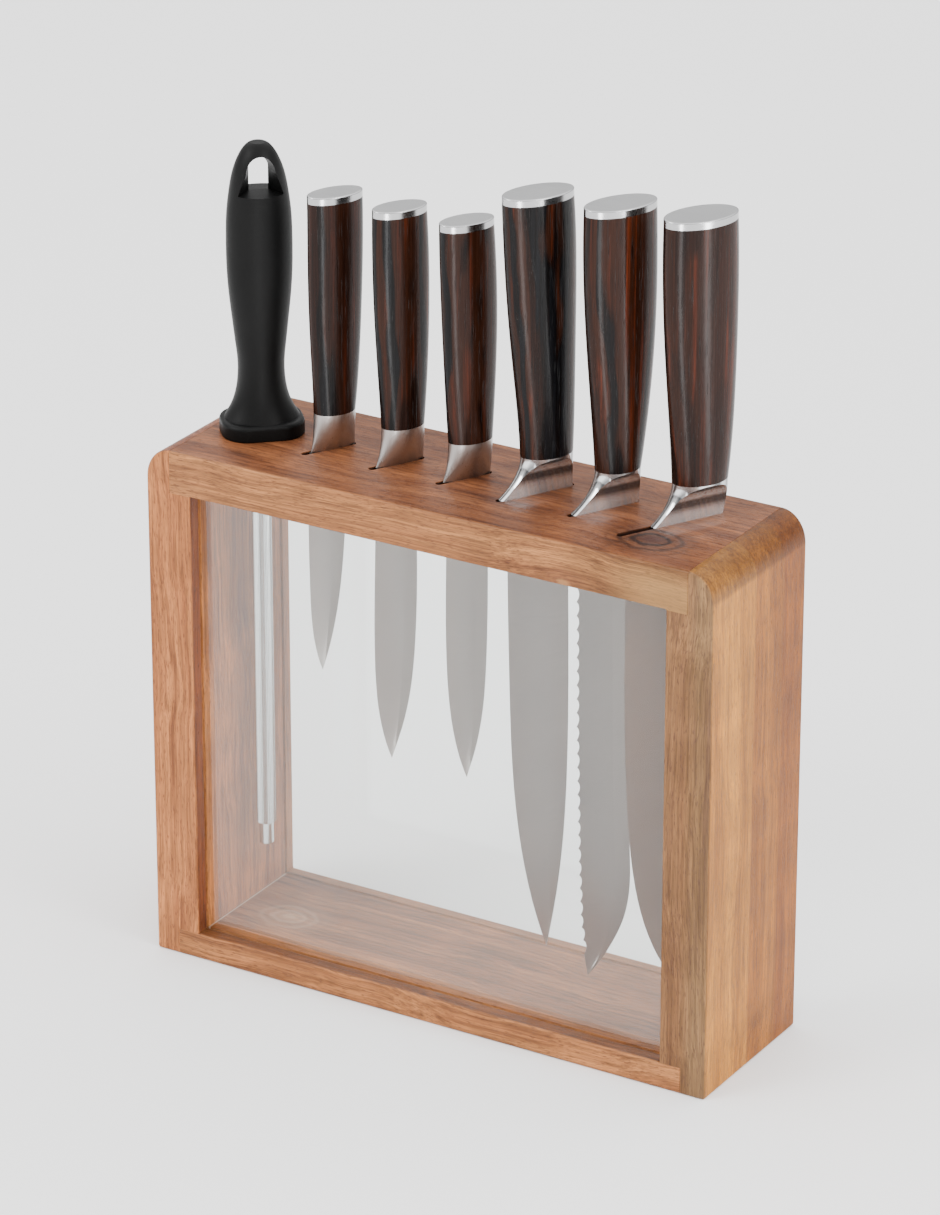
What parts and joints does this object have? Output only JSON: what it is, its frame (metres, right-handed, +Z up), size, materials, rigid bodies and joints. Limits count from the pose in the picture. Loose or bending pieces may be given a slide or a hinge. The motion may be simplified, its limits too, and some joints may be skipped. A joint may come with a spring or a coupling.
{
  "type": "knife block with knives",
  "caption": "Free-standing wooden knife block with glass front and back; forged knives and a sharpening steel lift out of slanted slots in its top.",
  "frame": {"origin": "middle of the block's footprint, on the surface it stands on", "axes": "+X along the front to the viewer's right, -Y towards the front pane, +Z up out of the slots"},
  "size_m": [0.26, 0.076, 0.35],
  "materials": {
    "level_wood": "satin oiled hardwood, grain along the board",
    "upright_wood": "satin oiled hardwood, grain upright",
    "dowel_wood": "plain beech",
    "glass": "clear polished",
    "blade_steel": "satin ground",
    "polished_steel": "mirror polished",
    "brushed_collar": "satin",
    "cap_steel": "satin top, polished rim",
    "rod_steel": "finely fluted, chromed",
    "grip_wood": "dark resin-soaked laminate, semi-gloss",
    "black_plastic": "soft matte"
  },
  "bodies": {
    "block": {"back_pane": "glass", "bottom_board": "level_wood", "dowel_bottom_left_back": "dowel_wood", "dowel_bottom_left_front": "dowel_wood", "dowel_bottom_right_back": "dowel_wood", "dowel_bottom_right_front": "dowel_wood", "dowel_top_left_back": "dowel_wood", "dowel_top_left_front": "dowel_wood", "dowel_top_right_back": "dowel_wood", "dowel_top_right_front": "dowel_wood", "front_pane": "glass", "left_side_board": "upright_wood", "right_side_board": "upright_wood", "top_board": "level_wood"},
    "paring_knife": {"paring_blade": "blade_steel", "paring_bolster": "brushed_collar", "paring_handle": "grip_wood", "paring_end_cap": "cap_steel"},
    "utility_knife": {"utility_blade": "blade_steel", "utility_bolster": "brushed_collar", "utility_handle": "grip_wood", "utility_end_cap": "cap_steel"},
    "boning_knife": {"boning_blade": "blade_steel", "boning_bolster": "brushed_collar", "boning_handle": "grip_wood", "boning_end_cap": "cap_steel"},
    "carving_knife": {"carving_blade": "blade_steel", "carving_bolster": "polished_steel", "carving_handle": "grip_wood", "carving_end_cap": "cap_steel"},
    "bread_knife": {"bread_blade": "blade_steel", "bread_bolster": "polished_steel", "bread_handle": "grip_wood", "bread_end_cap": "cap_steel"},
    "chef_knife": {"chef_blade": "blade_steel", "chef_bolster": "polished_steel", "chef_handle": "grip_wood", "chef_end_cap": "cap_steel"},
    "sharpening_steel": {"steel_rod": "rod_steel", "steel_handle": "black_plastic"}
  },
  "joints": [
    {"name": "paring_lift", "type": "slide", "parent": "block", "child": "paring_knife", "axis": [0, 0, 1], "range_m": [0, 0.1]},
    {"name": "utility_lift", "type": "slide", "parent": "block", "child": "utility_knife", "axis": [0, 0, 1], "range_m": [0, 0.135]},
    {"name": "boning_lift", "type": "slide", "parent": "block", "child": "boning_knife", "axis": [0, 0, 1], "range_m": [0, 0.135]},
    {"name": "carving_lift", "type": "slide", "parent": "block", "child": "carving_knife", "axis": [0, 0, 1], "range_m": [0, 0.205]},
    {"name": "bread_lift", "type": "slide", "parent": "block", "child": "bread_knife", "axis": [0, 0, 1], "range_m": [0, 0.207]},
    {"name": "chef_lift", "type": "slide", "parent": "block", "child": "chef_knife", "axis": [0, 0, 1], "range_m": [0, 0.211]},
    {"name": "steel_lift", "type": "slide", "parent": "block", "child": "sharpening_steel", "axis": [0, 0, 1], "range_m": [0, 0.19]}
  ]
}
